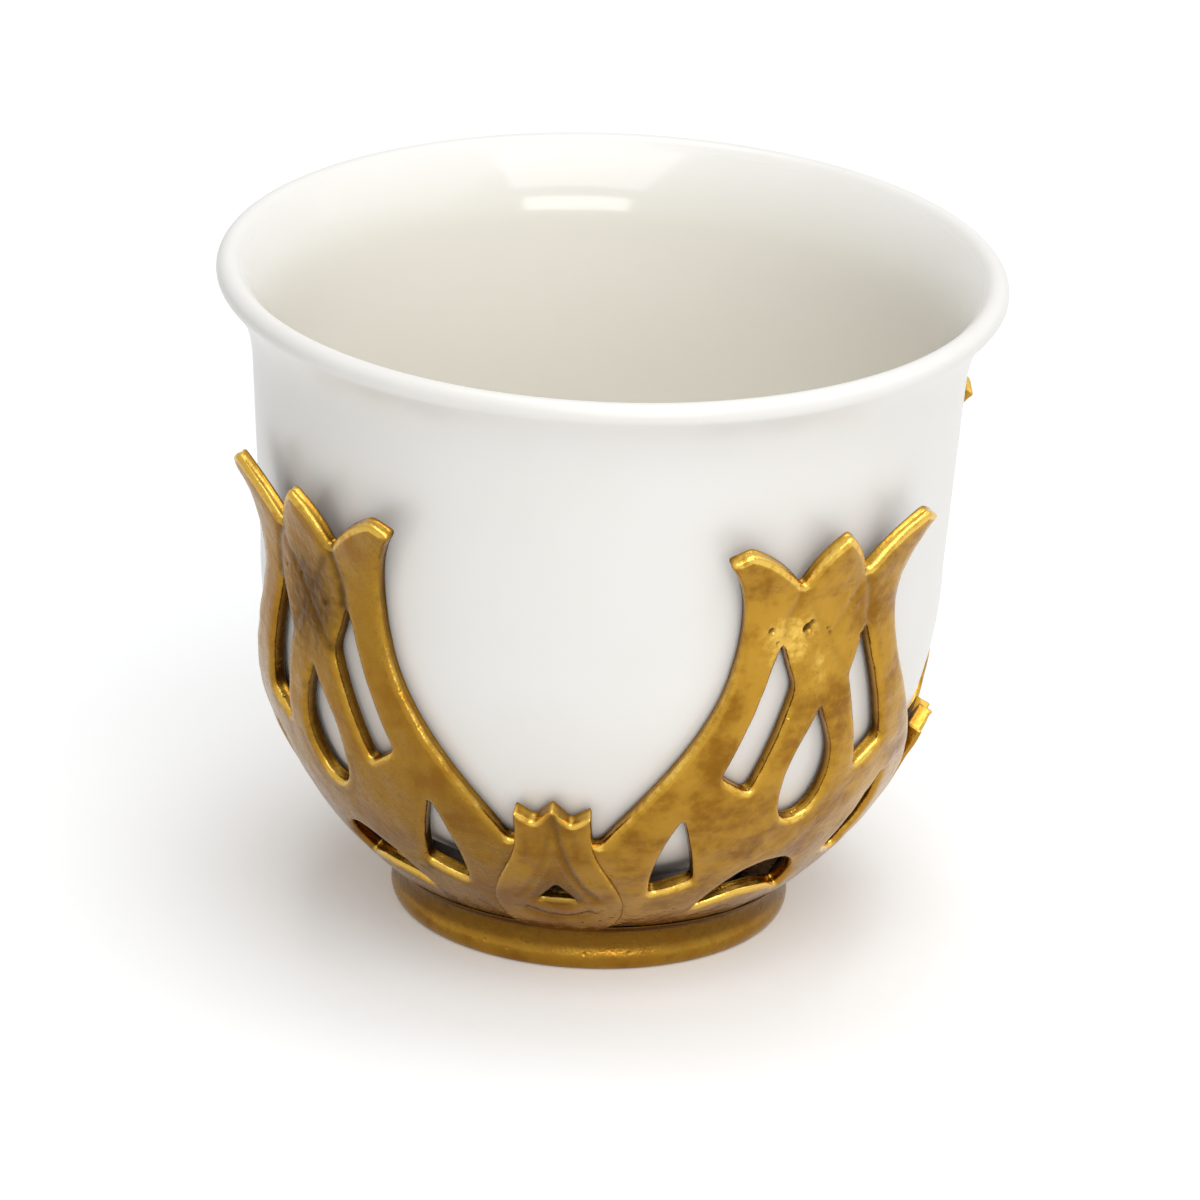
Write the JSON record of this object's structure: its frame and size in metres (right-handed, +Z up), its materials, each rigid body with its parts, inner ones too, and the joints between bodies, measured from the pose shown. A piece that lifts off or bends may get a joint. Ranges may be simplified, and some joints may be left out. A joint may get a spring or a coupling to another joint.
{
  "type": "arabic coffee cup",
  "caption": "Small handleless white porcelain coffee cup with a turned-out lip, standing loose in an openwork gold metal holder of tulip panels on a round foot ring",
  "frame": {"origin": "On the axis of the cup, at the ground under the foot ring", "axes": "+Z up along the axis of the cup, -Y towards the small tulip that faces the viewer, +X to the viewer's right"},
  "size_m": [0.0642, 0.0642, 0.0553],
  "materials": {
    "porcelain": "glossy white glaze",
    "gold_metal": "antique gold, semi-polished casting with dark recesses",
    "seat_pad": "matt soft washer"
  },
  "bodies": {
    "holder": {"foot_ring": "gold_metal", "tulip_panel_front_right": "gold_metal", "tulip_panel_back_right": "gold_metal", "tulip_panel_back_left": "gold_metal", "tulip_panel_front_left": "gold_metal", "small_tulip_right": "gold_metal", "small_tulip_back": "gold_metal", "small_tulip_left": "gold_metal", "small_tulip_front": "gold_metal"},
    "washer": {"seat_pad": "seat_pad"},
    "cup": {"porcelain_cup": "porcelain"}
  },
  "joints": [
    {"name": "cup_turn", "type": "hinge", "parent": "holder", "child": "washer", "pos_m": [0, 0, 0.004], "axis": [0, 0, 1], "continuous": true},
    {"name": "cup_lift", "type": "slide", "parent": "washer", "child": "cup", "axis": [0, 0, 1], "range_m": [0, 0.045]}
  ]
}
